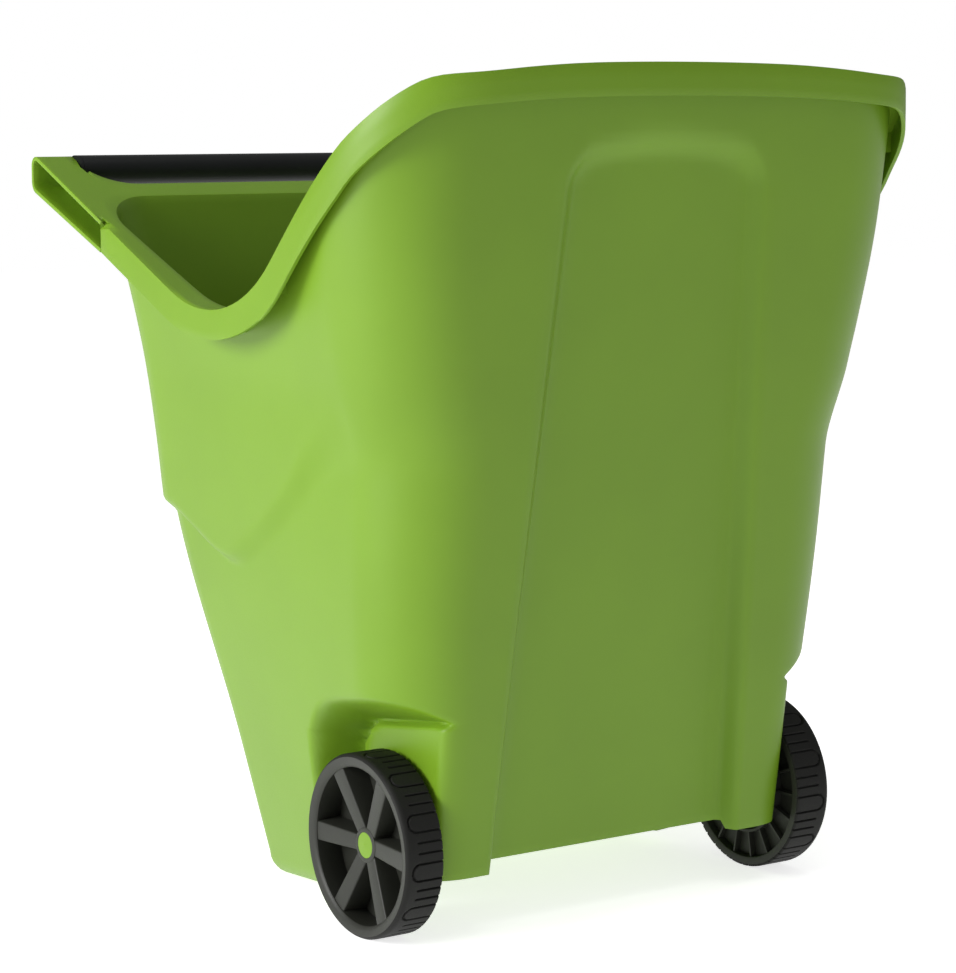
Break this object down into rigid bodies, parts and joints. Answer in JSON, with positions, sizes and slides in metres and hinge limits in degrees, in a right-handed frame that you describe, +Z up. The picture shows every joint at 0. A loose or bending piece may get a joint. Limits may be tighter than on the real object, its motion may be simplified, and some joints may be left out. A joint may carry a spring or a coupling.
{
  "type": "garden tub cart",
  "caption": "Deep moulded tub on a steel axle with spoked plastic wheels, a curved rim that dips at the sides, and a grip held between rear arms.",
  "frame": {"origin": "on the ground, under the middle of the bounding box", "axes": "+X across the cart, +Y from the tall front wall towards the handle, +Z up"},
  "size_m": [0.582, 0.6, 0.72],
  "materials": {
    "tub_plastic": "fine moulded satin, lime green",
    "wheel_plastic": "moulded satin, olive black",
    "grip_plastic": "satin black",
    "steel": "zinc plated"
  },
  "bodies": {
    "cart": {"tub": "tub_plastic", "axle": "steel", "handle_tube": "steel", "handle_screws": "steel", "grip_upper": "grip_plastic", "grip_lower": "grip_plastic", "axle_bush_left": "grip_plastic", "spacer_washer_left": "steel", "outer_washer_left": "steel", "push_nut_left": "steel", "handle_plug_left": "grip_plastic", "axle_bush_right": "grip_plastic", "spacer_washer_right": "steel", "outer_washer_right": "steel", "push_nut_right": "steel", "handle_plug_right": "grip_plastic"},
    "left_wheel": {"wheel_left": "wheel_plastic", "hub_cap_left": "tub_plastic"},
    "right_wheel": {"wheel_right": "wheel_plastic", "hub_cap_right": "tub_plastic"}
  },
  "joints": [
    {"name": "left_wheel_spin", "type": "hinge", "parent": "cart", "child": "left_wheel", "pos_m": [-0.206, -0.1435, 0.0775], "axis": [1, 0, 0], "continuous": true},
    {"name": "right_wheel_spin", "type": "hinge", "parent": "cart", "child": "right_wheel", "pos_m": [0.206, -0.1435, 0.0775], "axis": [1, 0, 0], "continuous": true}
  ]
}
